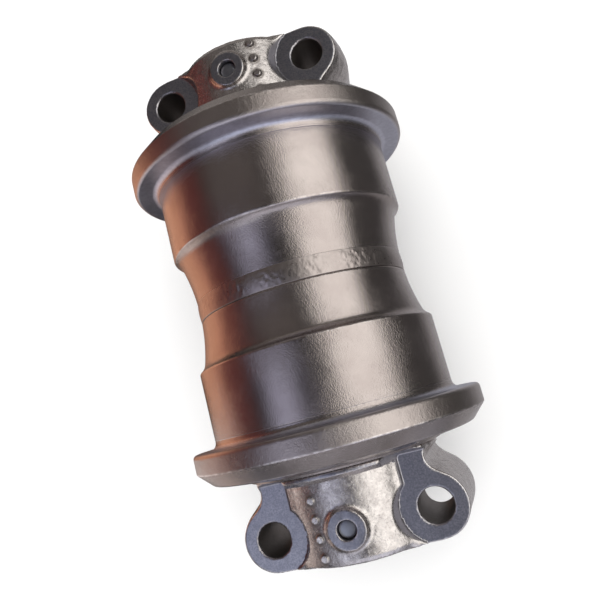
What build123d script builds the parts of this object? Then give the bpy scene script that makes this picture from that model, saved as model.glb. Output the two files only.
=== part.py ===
from build123d import *
import math
import os

# Double-flange track roller. Millimetres.
# +Y runs along the roller's axis, from the oil plug end to the plain end. +X runs along the machine's
# travel. +Z points away from the machine's track frame, towards the heads of the frame bolts.
# The origin is on the axis, midway between the collars.
# Profiles of turned pieces are drawn for the +Y end as (radius, distance along the axis from the middle).

# Roller shell: outside
FLANGE_R = 120.0
TREAD_R = 100.1
WAIST_R = 88.9
WAIST_CURVE_R = 160.0
WAIST_END = 41.5
SHOULDER_HOLLOW_R = 11.0
SHOULDER_EDGE_R = 2.8
SHOULDER_ANGLE = 52.0
FLANGE_IN = 110.1
FLANGE_OUT = 125.2
FLANGE_ROOT_R = 6.0
FLANGE_EDGE_R = 4.0
FLANGE_RIM_R = 1.8
FACE_TOP_R = 108.6
FACE_TOP_AT = 136.6
FACE_TOP_ROUND = 8.0
FACE_LIP_R = 81.5
FACE_LIP_T = 1.4
FACE_LIP_W = 2.4
FACE_LIP_ROUND = 3.0
SHELL_END = 142.0

# Roller shell: inside
CAVITY_R = 50.0
CAVITY_END = 30.0
BUSHING_OUT_R = 46.0
BUSHING_IN = 34.0
BUSHING_FLANGE_R = 56.0
BUSHING_FLANGE_IN = 106.0
THRUST_AT = 112.0
RECESS_R = 72.5
RECESS_IN = 131.0
RECESS_CHAMFER = 1.5

# Weld between the halves
WELD_ROOT_R = 81.0
WELD_HALF_W = 8.0

# Shaft
SHAFT_R = 37.5
SHAFT_END = 209.0
SHAFT_CHAMFER = 2.0
OIL_BORE_R = 6.0
OIL_CROSS_R = 4.0
OIL_CROSS_AT = 15.0
RESERVOIR_R = 35.0
RESERVOIR_END = 24.0

# Bushings
RUNNING_GAP = 0.08
LINING_T = 2.0
THRUST_GAP = 0.35
THRUST_EDGE = 1.0

# Face seals: lengths are counted back from the plane where the two rings meet
SEAL_AT = 130.0
SEAL_GAP = 0.15
SEAL_IN_R = 52.5
SEAL_FACE_R = 61.0
SEAL_FACE_T = 4.0
SEAL_LENGTH = 12.5
SEAL_RAMP_R = 58.2
SEAL_BACK_R = 56.2
SEAT_MOUTH_R = 67.6
SEAT_BACK_R = 65.4
SEAT_MOUTH = 3.0
SEAT_DEPTH = 13.6
TORIC_FROM = 4.9
TORIC_TO = 12.3
TORIC_ROUND = 2.9

# Collars
DISC_R = 75.4
DISC_IN = 143.3
DISC_OUT = 146.6
NECK_START = 150.0
LIP_OUT_R = 71.0
LIP_END = 132.5
EDGE_BREAK = 0.9
HUB_R = 50.0
BARREL_R = 57.5
LUG_START = 132.0
LUG_ROOT = 145.0
COLLAR_END = 213.0
BARREL_ROUND = 4.0
SEAT_PLANE = 35.4
CAST_FLAT = 37.0
MATING_PLANE = -44.0
HOLE_X = 64.2
HOLE_Y = 188.2
HOLE_R = 13.3
SPOTFACE_R = 27.3
LUG_END = 213.5
NECK_END = 165.0
NECK_BLEND_R = 9.0
FLAT_IN_X = 45.0
FLAT_FROM = 146.6
FLAT_CORNER_R = 4.0

# The two lugs of a collar are shaped a little differently: the first bulges at mid-height, the
# second tapers all the way up from the mating plane
BULGED_BOSS_R = 29.4
BULGED_NECK_HALF_W = 71.5
BULGED_DRAFT_UP = 8.0
BULGED_DRAFT_DOWN = 7.0
TAPERED_BOSS_R = 29.4
TAPERED_NECK_HALF_W = 70.3
TAPERED_DRAFT = 3.7

# Pin boss and lock pin
PIN_Y = 187.2
PIN_R = 7.0
PIN_GAP = 0.02
PIN_TOP = 57.0
PIN_BOTTOM = 17.0
PIN_BOSS_R = 16.0
PIN_BOSS_TOP = 60.6
PIN_CHAMFER = 1.0

# Plain raised casting dots beside the pin boss
DOT_R = 3.2
DOT_TOP = 54.6
DOT_X = 23.0
DOT_FIRST_Y = 163.0
DOT_PITCH = 14.0
DOT_COUNT = 4

# O-rings and oil plug
ORING_GROOVE_W = 5.0
ORING_GROOVE_DEPTH = 3.4
ORING_AT = 160.0
PLUG_R = 11.0
PLUG_LENGTH = 16.0
PLUG_HEX = 10.0
PLUG_HEX_DEPTH = 8.0
PLUG_GROOVE_AT = 9.0
PLUG_GROOVE_W = 2.6
PLUG_GROOVE_DEPTH = 1.8

ENDS = {"plug_end": 180.0, "plain_end": 0.0}


def waist_r(along):
    """Radius of the hollow waist at a distance from the middle."""
    centre_r = WAIST_R + WAIST_CURVE_R
    return centre_r - math.sqrt(WAIST_CURVE_R**2 - along**2)


def turned(profile):
    """Solid of revolution about the roller's axis from a face in the XY plane."""
    return revolve(profile, axis=Axis.Y, revolution_arc=360)


def ring(r_in, r_out, start, end):
    """Plain turned ring between two radii."""
    points = [(r_in, start), (r_out, start), (r_out, end), (r_in, end)]
    return turned(make_face(Polyline(*points, close=True)))


def cylinder_y(radius, start, end, x=0.0, z=0.0):
    """Round bar along the roller's axis."""
    bar = Cylinder(radius, end - start, align=(Align.CENTER, Align.CENTER, Align.MIN))
    return Pos(x, start, z) * Rot(-90, 0, 0) * bar


def cylinder_z(radius, low, high, x=0.0, y=0.0):
    """Round bar along Z."""
    bar = Cylinder(radius, high - low, align=(Align.CENTER, Align.CENTER, Align.MIN))
    return Pos(x, y, low) * bar


def seat_ramp_r(back):
    """Radius of the housing ramp at a distance back from the seal plane."""
    share = (back - SEAT_MOUTH) / (SEAT_DEPTH - SEAT_MOUTH)
    return SEAT_MOUTH_R + share * (SEAT_BACK_R - SEAT_MOUTH_R)


def ring_ramp_r(back):
    """Radius of the seal ring's ramp at a distance back from the seal plane."""
    share = (back - SEAL_FACE_T) / (SEAL_LENGTH - SEAL_FACE_T)
    return SEAL_RAMP_R + share * (SEAL_BACK_R - SEAL_RAMP_R)


def corner_arc(before, corner, after, radius):
    """Arc that rounds the corner between two straight lines, with its start and end points."""
    here = Vector(*corner)
    back = (Vector(*before) - here).normalized()
    ahead = (Vector(*after) - here).normalized()
    half_angle = math.radians(back.get_angle(ahead)) / 2
    reach = radius / math.tan(half_angle)
    start = here + back * reach
    end = here + ahead * reach
    middle = here + (back + ahead).normalized() * (radius / math.sin(half_angle) - radius)
    return ThreePointArc(start, middle, end), start, end


def shoulder():
    """Shoulder between waist and tread: hollow fillet, short steep face and rounded edge."""
    start = (waist_r(WAIST_END), WAIST_END)
    low = math.asin(WAIST_END / WAIST_CURVE_R)
    high = math.radians(SHOULDER_ANGLE)

    def along_hollow(angle):
        rise = SHOULDER_HOLLOW_R * (math.cos(low) - math.cos(angle))
        run = SHOULDER_HOLLOW_R * (math.sin(angle) - math.sin(low))
        return (start[0] + rise, start[1] + run)

    hollow_end = along_hollow(high)
    corner = (TREAD_R, hollow_end[1] + (TREAD_R - hollow_end[0]) / math.tan(high))
    edge, edge_start, edge_end = corner_arc(hollow_end, corner, (TREAD_R, FLANGE_IN), SHOULDER_EDGE_R)
    hollow = ThreePointArc(start, along_hollow((low + high) / 2), hollow_end)
    return [hollow, Line(hollow_end, edge_start), edge], edge_end


def shell_outside():
    """Outer line of one shell half, from the weld to the end face."""
    weld_edge = (waist_r(WELD_HALF_W), WELD_HALF_W)
    waist_mid = (waist_r((WELD_HALF_W + WAIST_END) / 2), (WELD_HALF_W + WAIST_END) / 2)
    waist_end = (waist_r(WAIST_END), WAIST_END)
    root_r = TREAD_R + FLANGE_ROOT_R
    root_at = FLANGE_IN - FLANGE_ROOT_R
    lip_start = (FACE_LIP_R, SHELL_END - FACE_LIP_T)
    lip_end = (FACE_LIP_R - FACE_LIP_W, SHELL_END)
    rim_in = (FLANGE_R, FLANGE_IN)
    rim_out = (FLANGE_R, FLANGE_OUT)
    cone_end = (FACE_TOP_R, FACE_TOP_AT)
    step, tread_start = shoulder()
    inner_edge, inner_start, inner_end = corner_arc((root_r, FLANGE_IN), rim_in, rim_out, FLANGE_EDGE_R)
    outer_edge, outer_start, outer_end = corner_arc(rim_in, rim_out, cone_end, FLANGE_RIM_R)
    face_bend, bend_start, bend_end = corner_arc(rim_out, cone_end, lip_start, FACE_TOP_ROUND)
    return [
        ThreePointArc(weld_edge, waist_mid, waist_end),
        *step,
        Line(tread_start, (TREAD_R, root_at)),
        RadiusArc((TREAD_R, root_at), (root_r, FLANGE_IN), -FLANGE_ROOT_R),
        Line((root_r, FLANGE_IN), inner_start),
        inner_edge,
        Line(inner_end, outer_start),
        outer_edge,
        Line(outer_end, bend_start),
        face_bend,
        Line(bend_end, lip_start),
        RadiusArc(lip_start, lip_end, FACE_LIP_ROUND),
    ]


def shell_half():
    """One forged half of the roller: waist, tread, flange and the bores inside."""
    seat_floor = SEAL_AT - SEAT_DEPTH
    seat_mouth = SEAL_AT - SEAT_MOUTH
    inside = Polyline(
        (FACE_LIP_R - FACE_LIP_W, SHELL_END),
        (RECESS_R + RECESS_CHAMFER, SHELL_END),
        (RECESS_R, SHELL_END - RECESS_CHAMFER),
        (RECESS_R, RECESS_IN),
        (SEAT_MOUTH_R, seat_mouth),
        (SEAT_BACK_R, seat_floor),
        (BUSHING_FLANGE_R, seat_floor),
        (BUSHING_FLANGE_R, BUSHING_FLANGE_IN),
        (BUSHING_OUT_R, BUSHING_FLANGE_IN),
        (BUSHING_OUT_R, BUSHING_IN),
        (CAVITY_R, CAVITY_END),
        (CAVITY_R, 0),
        (WELD_ROOT_R, 0),
        (waist_r(WELD_HALF_W), WELD_HALF_W),
    )
    return turned(make_face(Curve() + shell_outside() + [inside]))


def weld_bead():
    """Weld that fills the V groove between the two halves, flush with the waist."""
    edge_r = waist_r(WELD_HALF_W)
    low = (edge_r, -WELD_HALF_W)
    high = (edge_r, WELD_HALF_W)
    crown = ThreePointArc(high, (WAIST_R, 0), low)
    sides = Polyline(low, (WELD_ROOT_R, 0), high)
    return turned(make_face(Curve() + [crown, sides]))


def bushing_lining():
    """Bronze lining of a flanged bushing, with its thrust face."""
    bore_r = SHAFT_R + RUNNING_GAP
    points = [
        (bore_r, BUSHING_IN),
        (bore_r + LINING_T, BUSHING_IN),
        (bore_r + LINING_T, THRUST_AT - LINING_T),
        (BUSHING_FLANGE_R - THRUST_EDGE, THRUST_AT - LINING_T),
        (BUSHING_FLANGE_R - THRUST_EDGE, THRUST_AT),
        (bore_r + THRUST_EDGE, THRUST_AT),
        (bore_r, THRUST_AT - THRUST_EDGE),
    ]
    return turned(make_face(Polyline(*points, close=True)))


def bushing_back():
    """Steel back of a flanged bushing, pressed into the shell."""
    inner_r = SHAFT_R + RUNNING_GAP + LINING_T
    points = [
        (inner_r, BUSHING_IN),
        (BUSHING_OUT_R, BUSHING_IN),
        (BUSHING_OUT_R, BUSHING_FLANGE_IN),
        (BUSHING_FLANGE_R, BUSHING_FLANGE_IN),
        (BUSHING_FLANGE_R, THRUST_AT - LINING_T),
        (inner_r, THRUST_AT - LINING_T),
    ]
    return turned(make_face(Polyline(*points, close=True)))


def seal_section(points, side):
    """Face from (radius, distance back) points; side -1 lies towards the middle, 1 away from it."""
    plane_at = SEAL_AT if side < 0 else SEAL_AT + SEAL_GAP
    return make_face(Polyline(*[(r, plane_at + side * back) for r, back in points], close=True))


def seal_ring(side):
    """Hard metal face-seal ring: a lapped face with a ramp behind it for the rubber ring."""
    points = [
        (SEAL_IN_R, 0),
        (SEAL_FACE_R, 0),
        (SEAL_FACE_R, SEAL_FACE_T),
        (SEAL_RAMP_R, SEAL_FACE_T),
        (SEAL_BACK_R, SEAL_LENGTH),
        (SEAL_IN_R, SEAL_LENGTH),
    ]
    return turned(seal_section(points, side))


def toric_ring(side):
    """Rubber ring squeezed between the seal ring's ramp and the ramp of its housing."""
    points = [
        (ring_ramp_r(TORIC_FROM), TORIC_FROM),
        (seat_ramp_r(TORIC_FROM), TORIC_FROM),
        (seat_ramp_r(TORIC_TO), TORIC_TO),
        (ring_ramp_r(TORIC_TO), TORIC_TO),
    ]
    section = seal_section(points, side)
    return turned(fillet(section.vertices(), TORIC_ROUND))


def shaft():
    """Straight shaft with an oil reservoir at mid-length, oil ways, and seats for pins and plug."""
    body = ring(0, SHAFT_R, -SHAFT_END, SHAFT_END)
    body = chamfer(body.edges().filter_by(GeomType.CIRCLE), SHAFT_CHAMFER)
    body -= ring(RESERVOIR_R, SHAFT_R + 1, -RESERVOIR_END, RESERVOIR_END)
    body -= cylinder_y(OIL_BORE_R, -SHAFT_END, 0)
    body -= cylinder_y(PLUG_R, -SHAFT_END, -SHAFT_END + PLUG_LENGTH + 1)
    for along in (-OIL_CROSS_AT, OIL_CROSS_AT):
        body -= cylinder_z(OIL_CROSS_R, -SHAFT_R, SHAFT_R, y=along)
    body -= cylinder_y(OIL_CROSS_R, -1, OIL_CROSS_AT)
    for along in (-PIN_Y, PIN_Y):
        body -= cylinder_z(PIN_R + PIN_GAP, PIN_BOTTOM, SHAFT_R + 1, y=along)
    return body


def collar_turned():
    """Turned core of a collar: seal housing, lip, disc and barrel."""
    seat_plane = SEAL_AT + SEAL_GAP
    thrust = THRUST_AT + THRUST_GAP
    bore_r = SHAFT_R
    points = [
        (bore_r, thrust + THRUST_EDGE),
        (bore_r + THRUST_EDGE, thrust),
        (HUB_R, thrust),
        (HUB_R, seat_plane + SEAT_DEPTH),
        (SEAT_BACK_R, seat_plane + SEAT_DEPTH),
        (SEAT_MOUTH_R, seat_plane + SEAT_MOUTH),
        (LIP_OUT_R - EDGE_BREAK, LIP_END),
        (LIP_OUT_R, LIP_END + EDGE_BREAK),
        (LIP_OUT_R, DISC_IN),
        (DISC_R - EDGE_BREAK, DISC_IN),
        (DISC_R, DISC_IN + EDGE_BREAK),
        (DISC_R, DISC_OUT),
        (TAPERED_NECK_HALF_W, NECK_START),
        (BARREL_R, NECK_START),
        (BARREL_R, COLLAR_END - BARREL_ROUND),
    ]
    end_round = RadiusArc(
        (BARREL_R, COLLAR_END - BARREL_ROUND),
        (BARREL_R - BARREL_ROUND, COLLAR_END),
        -BARREL_ROUND,
    )
    closing = Polyline(
        (BARREL_R - BARREL_ROUND, COLLAR_END),
        (bore_r, COLLAR_END),
        (bore_r, thrust + THRUST_EDGE),
    )
    return turned(make_face(Curve() + [Polyline(*points), end_round, closing]))


def lug_plan(boss_r, neck_half_w):
    """Plan of one bolt lug and its half of the neck, on the +X side."""
    neck = Pos(0, LUG_START) * Rectangle(neck_half_w, NECK_END - LUG_START, align=(Align.MIN, Align.MIN))
    bridge = Pos(0, LUG_START) * Rectangle(HOLE_X, HOLE_Y - LUG_START, align=(Align.MIN, Align.MIN))
    plan = neck + bridge + Pos(HOLE_X, HOLE_Y) * Circle(boss_r)
    waist_corner = plan.vertices().filter_by_position(Axis.Y, LUG_START + 1, NECK_END)
    return fillet(waist_corner.filter_by_position(Axis.X, HOLE_X, 2 * HOLE_X), NECK_BLEND_R)


def bulged_lug():
    """Lug that is widest at mid-height."""
    plan = lug_plan(BULGED_BOSS_R, BULGED_NECK_HALF_W)
    upper = extrude(plan, amount=CAST_FLAT, dir=(0, 0, 1), taper=BULGED_DRAFT_UP)
    lower = extrude(plan, amount=-MATING_PLANE, dir=(0, 0, -1), taper=BULGED_DRAFT_DOWN)
    return upper + lower


def tapered_lug():
    """Lug that narrows all the way up from the mating plane."""
    plan = lug_plan(TAPERED_BOSS_R, TAPERED_NECK_HALF_W)
    return Pos(0, 0, MATING_PLANE) * extrude(plan, amount=CAST_FLAT - MATING_PLANE, taper=TAPERED_DRAFT)


def lugs():
    """Both cast lugs and the saddle between them, cut square at the disc and at the collar's end."""
    centred = (Align.CENTER, Align.MIN, Align.CENTER)
    saddle = Box(2 * HOLE_X, COLLAR_END - LUG_ROOT, CAST_FLAT - MATING_PLANE, align=centred)
    body = Pos(0, LUG_ROOT, (CAST_FLAT + MATING_PLANE) / 2) * saddle
    body += bulged_lug() + mirror(tapered_lug(), about=Plane.YZ)
    beyond = Box(4 * HOLE_X, LUG_ROOT, 4 * BARREL_R, align=centred)
    return body - beyond - Pos(0, LUG_END) * beyond


def seat_cut():
    """Room above one seat on the +X side: round over the bolt hole, square over the neck."""
    neck_flat = Rectangle(SPOTFACE_R + HOLE_X - FLAT_IN_X, HOLE_Y - FLAT_FROM, align=(Align.MIN, Align.MIN))
    plan = Pos(FLAT_IN_X, FLAT_FROM) * neck_flat
    plan = fillet(plan.vertices().group_by(Axis.Y)[0], FLAT_CORNER_R)
    plan += Pos(HOLE_X, HOLE_Y) * Circle(SPOTFACE_R)
    return Pos(0, 0, SEAT_PLANE) * extrude(plan, amount=BARREL_R - SEAT_PLANE)


def casting_dots():
    """Row of plain raised dots beside the pin boss."""
    dots = Part()
    for index in range(DOT_COUNT):
        dots += cylinder_z(DOT_R, BARREL_R - 12, DOT_TOP, DOT_X, DOT_FIRST_Y + index * DOT_PITCH)
    return dots


def collar():
    """End collar for the +Y end: seal housing, barrel round the shaft, two bolt lugs and pin boss."""
    body = collar_turned() + lugs()
    body += cylinder_z(PIN_BOSS_R, BARREL_R - 10, PIN_BOSS_TOP, y=PIN_Y)
    body += casting_dots()
    below = Box(400, COLLAR_END, 100, align=(Align.CENTER, Align.MIN, Align.MAX))
    body -= Pos(0, NECK_START, MATING_PLANE) * below
    body -= cylinder_y(SHAFT_R, THRUST_AT, COLLAR_END + 1)
    body -= ring(HUB_R, SEAT_BACK_R, SEAL_AT, SEAL_AT + SEAL_GAP + SEAT_DEPTH)
    for side in (-1, 1):
        body -= cylinder_z(HOLE_R, MATING_PLANE - 1, CAST_FLAT + 1, side * HOLE_X, HOLE_Y)
    body -= seat_cut() + mirror(seat_cut(), about=Plane.YZ)
    body -= cylinder_z(PIN_R + PIN_GAP, 0, PIN_BOSS_TOP + 1, y=PIN_Y)
    groove_in = ORING_AT - ORING_GROOVE_W / 2
    groove_out = ORING_AT + ORING_GROOVE_W / 2
    body -= ring(SHAFT_R - 1, SHAFT_R + ORING_GROOVE_DEPTH, groove_in, groove_out)
    return body


def lock_pin():
    """Dowel that locks a collar to the shaft, with a slightly domed, chamfered top."""
    pin = cylinder_z(PIN_R, PIN_BOTTOM, PIN_TOP, y=PIN_Y)
    return chamfer(pin.edges().filter_by(GeomType.CIRCLE), PIN_CHAMFER)


def collar_oring():
    """Rubber ring in the collar's groove, squeezed on the shaft."""
    half = ORING_GROOVE_W / 2
    section = make_face(
        Polyline(
            (SHAFT_R, ORING_AT - half),
            (SHAFT_R + ORING_GROOVE_DEPTH, ORING_AT - half),
            (SHAFT_R + ORING_GROOVE_DEPTH, ORING_AT + half),
            (SHAFT_R, ORING_AT + half),
            close=True,
        )
    )
    return turned(fillet(section.vertices(), ORING_GROOVE_DEPTH * 0.45))


def oil_plug():
    """Socket plug that closes the oil bore in the shaft's end."""
    outer = -SHAFT_END
    body = cylinder_y(PLUG_R, outer, outer + PLUG_LENGTH)
    socket = extrude(RegularPolygon(PLUG_HEX / 2, 6, major_radius=False), amount=PLUG_HEX_DEPTH)
    body -= Pos(0, outer + PLUG_HEX_DEPTH, 0) * Rot(90, 0, 0) * socket
    groove_at = outer + PLUG_GROOVE_AT
    body -= ring(PLUG_R - PLUG_GROOVE_DEPTH, PLUG_R + 1, groove_at, groove_at + PLUG_GROOVE_W)
    return body


def oil_plug_oring():
    """Rubber ring in the plug's groove."""
    start = -SHAFT_END + PLUG_GROOVE_AT
    section = make_face(
        Polyline(
            (PLUG_R - PLUG_GROOVE_DEPTH, start),
            (PLUG_R, start),
            (PLUG_R, start + PLUG_GROOVE_W),
            (PLUG_R - PLUG_GROOVE_DEPTH, start + PLUG_GROOVE_W),
            close=True,
        )
    )
    return turned(fillet(section.vertices(), PLUG_GROOVE_DEPTH * 0.45))


def main():
    """Build every piece and write one STEP file for each."""
    os.makedirs("parts", exist_ok=True)
    pieces = {
        "shaft": shaft(),
        "weld_bead": weld_bead(),
        "oil_plug": oil_plug(),
        "oil_plug_oring": oil_plug_oring(),
    }
    paired = {
        "shell": shell_half(),
        "bushing_back": bushing_back(),
        "bushing_lining": bushing_lining(),
        "turning_seal_ring": seal_ring(-1),
        "turning_toric": toric_ring(-1),
        "fixed_seal_ring": seal_ring(1),
        "fixed_toric": toric_ring(1),
        "collar": collar(),
        "lock_pin": lock_pin(),
        "collar_oring": collar_oring(),
    }
    for name, piece in paired.items():
        for end, turn in ENDS.items():
            pieces[f"{name}_{end}"] = Rot(0, 0, turn) * piece
    for name, piece in pieces.items():
        export_step(piece, f"parts/{name}.step")


main()
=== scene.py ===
import math

import bpy
import numpy as np
from mathutils import Matrix, Vector


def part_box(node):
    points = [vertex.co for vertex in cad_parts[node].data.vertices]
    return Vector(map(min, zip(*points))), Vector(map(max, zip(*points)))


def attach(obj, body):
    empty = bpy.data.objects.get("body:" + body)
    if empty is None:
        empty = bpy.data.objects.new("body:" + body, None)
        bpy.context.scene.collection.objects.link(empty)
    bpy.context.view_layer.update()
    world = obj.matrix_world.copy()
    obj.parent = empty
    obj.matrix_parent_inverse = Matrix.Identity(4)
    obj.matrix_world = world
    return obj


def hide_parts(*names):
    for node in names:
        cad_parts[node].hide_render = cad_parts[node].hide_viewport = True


# Looks of a double-flange track roller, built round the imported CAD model.
# +Y runs along the roller's axis and +Z points at the bolt heads, as in the frame.
# Outlines and fields are in millimetres and drawn for the +Y (plain) end. The studio is in metres.
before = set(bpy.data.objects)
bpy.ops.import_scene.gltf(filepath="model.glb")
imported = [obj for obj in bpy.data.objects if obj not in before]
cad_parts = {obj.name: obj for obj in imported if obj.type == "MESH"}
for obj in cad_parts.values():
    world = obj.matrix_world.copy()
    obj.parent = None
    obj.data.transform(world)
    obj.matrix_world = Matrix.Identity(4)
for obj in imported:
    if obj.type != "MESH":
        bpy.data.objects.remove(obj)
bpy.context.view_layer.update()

MM = 0.001
FLOOR_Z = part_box("shell_plain_end")[0].z
TURN_STEPS = 480
WELD_STEPS = 1200
CASTING_CELL = 1.25


# ---------------------------------------------------------------- mesh helpers

ARC_STEPS = 4
# Share of the edge brightening, part real wearing and part painted highlight, at the ends of each
# rounded edge.
ARC_END_WEAR_AND_HIGHLIGHT = 0.4
EDGE_SUPPORT = 0.35
LONGEST_CUT = 0.48
LATTICE = 64


def new_object(name, verts, faces, smooth=True):
    """Mesh object from plain lists of points and faces."""
    mesh = bpy.data.meshes.new(name)
    mesh.from_pydata(verts, [], faces)
    mesh.validate()
    if smooth:
        mesh.shade_smooth()
    piece = bpy.data.objects.new(name, mesh)
    bpy.context.scene.collection.objects.link(piece)
    return piece


def mark(piece, name, values):
    """Stores one number for every point of a piece, for its material to read."""
    layer = piece.data.attributes.new(name, "FLOAT", "POINT")
    layer.data.foreach_set("value", np.asarray(values, np.float32))


def positions(piece):
    """Points of a piece in millimetres."""
    flat = np.empty(len(piece.data.vertices) * 3, np.float32)
    piece.data.vertices.foreach_get("co", flat)
    return flat.reshape(-1, 3) / MM


def fade_in(values, start, width):
    """0 up to the start, then rising to 1 over the width."""
    return np.clip((values - start) / width, 0, 1)


def fade_out(values, end, width):
    """1 until a width before the end, then falling to 0 there."""
    return np.clip((end - values) / width, 0, 1)


def soften(corners):
    """Rounds a closed outline of (radius, along, rounding, brightening) corners.

    Returns the points and a brightening value for each: 1 on an edge fully brightened, part real
    wearing and part painted highlight, 0 elsewhere."""
    points = []
    wear = []
    for index, (r, y, rounding, worn_and_highlit) in enumerate(corners):
        here = np.array((r, y), float)
        if rounding <= 0:
            points.append(here)
            wear.append(worn_and_highlit)
            continue
        arm_in = np.array(corners[index - 1][:2], float) - here
        arm_out = np.array(corners[(index + 1) % len(corners)][:2], float) - here
        len_in = np.linalg.norm(arm_in)
        len_out = np.linalg.norm(arm_out)
        arm_in /= len_in
        arm_out /= len_out
        half = math.acos(float(np.clip(arm_in @ arm_out, -1, 1))) / 2
        cut = min(rounding / math.tan(half), LONGEST_CUT * len_in, LONGEST_CUT * len_out)
        radius = cut * math.tan(half)
        middle = arm_in + arm_out
        middle /= np.linalg.norm(middle)
        centre = here + middle * radius / math.sin(half)
        start = here + arm_in * cut
        end = here + arm_out * cut
        to_start = start - centre
        to_end = end - centre
        turn = math.acos(float(np.clip(to_start @ to_end / radius**2, -1, 1)))
        if len_in > cut + 2 * EDGE_SUPPORT:
            points.append(start + arm_in * EDGE_SUPPORT)
            wear.append(0.0)
        for step in range(ARC_STEPS + 1):
            share = step / ARC_STEPS
            start_weight = math.sin((1 - share) * turn) / math.sin(turn)
            end_weight = math.sin(share * turn) / math.sin(turn)
            points.append(centre + to_start * start_weight + to_end * end_weight)
            wear.append(worn_and_highlit * (ARC_END_WEAR_AND_HIGHLIGHT if step in (0, ARC_STEPS) else 1.0))
        if len_out > cut + 2 * EDGE_SUPPORT:
            points.append(end + arm_out * EDGE_SUPPORT)
            wear.append(0.0)
    return points, wear


def lathe(name, points, wear, steps=TURN_STEPS, relief=None):
    """Closed outline of (radius, along) points, turned about the roller's axis.

    The optional relief takes the turned points and gives a change of radius for each."""
    outline = np.array(points)
    count = len(outline)
    angles = np.arange(steps) * (2 * math.pi / steps)
    rings = np.zeros((steps, count, 3))
    rings[:, :, 0] = np.outer(np.sin(angles), outline[:, 0])
    rings[:, :, 1] = outline[:, 1]
    rings[:, :, 2] = np.outer(np.cos(angles), outline[:, 0])
    if relief is not None:
        change = relief(rings.reshape(-1, 3)).reshape(steps, count)
        rings[:, :, 0] += change * np.sin(angles)[:, None]
        rings[:, :, 2] += change * np.cos(angles)[:, None]
    rings *= MM
    ring_at = np.arange(steps)[:, None] * count
    next_at = ((np.arange(steps) + 1) % steps)[:, None] * count
    here = np.arange(count)[None, :]
    after = (here + 1) % count
    quads = np.stack([ring_at + here, ring_at + after, next_at + after, next_at + here], axis=-1)
    piece = new_object(name, rings.reshape(-1, 3), quads.reshape(-1, 4).tolist())
    # Edge brightening per point: part real wearing, part painted highlight.
    mark(piece, "wear", np.tile(wear, steps))
    return piece


def flipped_end(piece, name):
    """Copy of a +Y end piece, turned half round Z to make the -Y end piece."""
    twin = bpy.data.objects.new(name, piece.data.copy())
    twin.data.name = name
    twin.data.transform(Matrix.Rotation(math.pi, 4, "Z"))
    bpy.context.scene.collection.objects.link(twin)
    return twin


def lattice_noise(points, size, seed):
    """Smooth noise from -1 to 1, with features of about the given size."""
    shape = (LATTICE, LATTICE, LATTICE)
    table = np.random.default_rng(seed).uniform(-1, 1, shape).astype(np.float32)
    place = points / size
    base = np.floor(place).astype(int)
    part = place - base
    part = part * part * (3 - 2 * part)
    total = 0
    for dx in (0, 1):
        for dy in (0, 1):
            for dz in (0, 1):
                corner = (base + (dx, dy, dz)) % LATTICE
                near = np.abs(1 - np.array((dx, dy, dz)) - part)
                weight = near[:, 0] * near[:, 1] * near[:, 2]
                total = total + weight * table[corner[:, 0], corner[:, 1], corner[:, 2]]
    return total


# ---------------------------------------------------------------- materials

STEEL = (0.37, 0.325, 0.305, 1)
STEEL_DARK = (0.33, 0.285, 0.268, 1)
# Lighter edges: part real wearing, part painted highlight.
STEEL_BRIGHT = (0.66, 0.61, 0.59, 1)
# Painted lilac reflection of bluish light on the duller inner face of the flange, in two tones for its
# random blotches.
LILAC_REFLECTION_FACE = (0.55, 0.55, 0.63, 1)
LILAC_REFLECTION_FACE_DARK = (0.46, 0.455, 0.53, 1)
CAST_COAT = (0.54, 0.50, 0.478, 1)
CAST_COAT_DARK = (0.41, 0.375, 0.36, 1)
FLAT_COAT = (0.33, 0.32, 0.35, 1)
FLAT_COAT_DARK = (0.20, 0.20, 0.23, 1)
# Painted shade inside the bolt holes and in a ring round each dot.
HOLE_PAINTED_SHADE = (0.19, 0.165, 0.15, 1)
# Bright rims: part real wearing, part painted highlight.
RIM_WEAR_AND_HIGHLIGHT = (0.72, 0.68, 0.66, 1)

GRAIN_SCALE = 500

# Heights of the bumps, in metres.
PEEL = 0.0003
FORGED_WRINKLES = 0.00028
WELD_WRINKLES = 0.00016
CAST_PITS = 0.0001
CAST_GRAIN = 0.00006
PLATED_GRAIN = 0.00006
STEEL_GRAIN = 0.00003
RUBBER_GRAIN = 0.00008


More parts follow.
